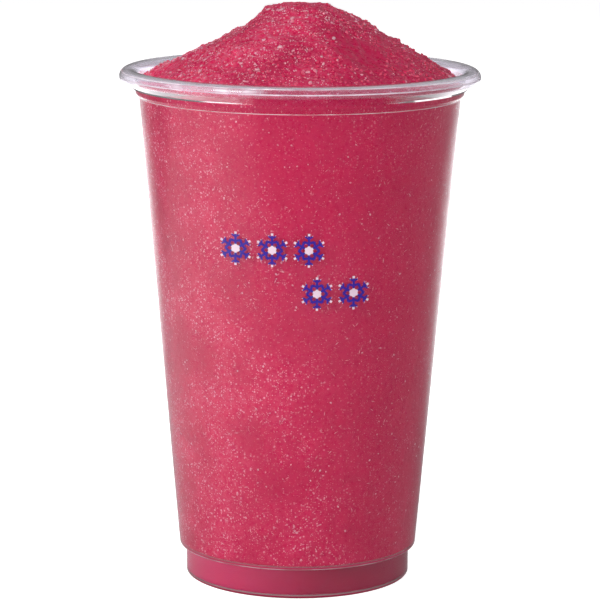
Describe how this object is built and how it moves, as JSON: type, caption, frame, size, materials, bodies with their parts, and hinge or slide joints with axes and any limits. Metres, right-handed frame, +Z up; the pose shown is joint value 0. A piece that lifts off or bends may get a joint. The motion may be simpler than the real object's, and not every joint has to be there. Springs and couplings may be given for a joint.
{
  "type": "slush cup",
  "caption": "Clear tapered plastic drinks cup with a rolled rim and stepped foot, filled with coarse red frozen slush that is heaped above the rim.",
  "frame": {"origin": "centre of the plane the cup stands on", "axes": "+Z up the cup's axis; -Y is the printed front, with the mould's stub on the rim"},
  "size_m": [0.095, 0.0952, 0.1535],
  "materials": {
    "cup": "clear",
    "syrup": null,
    "slush": null,
    "heap": null
  },
  "bodies": {
    "root": {"cup": "cup", "drained_syrup": "syrup", "packed_slush": "slush", "slush_heap": "heap"}
  },
  "joints": []
}
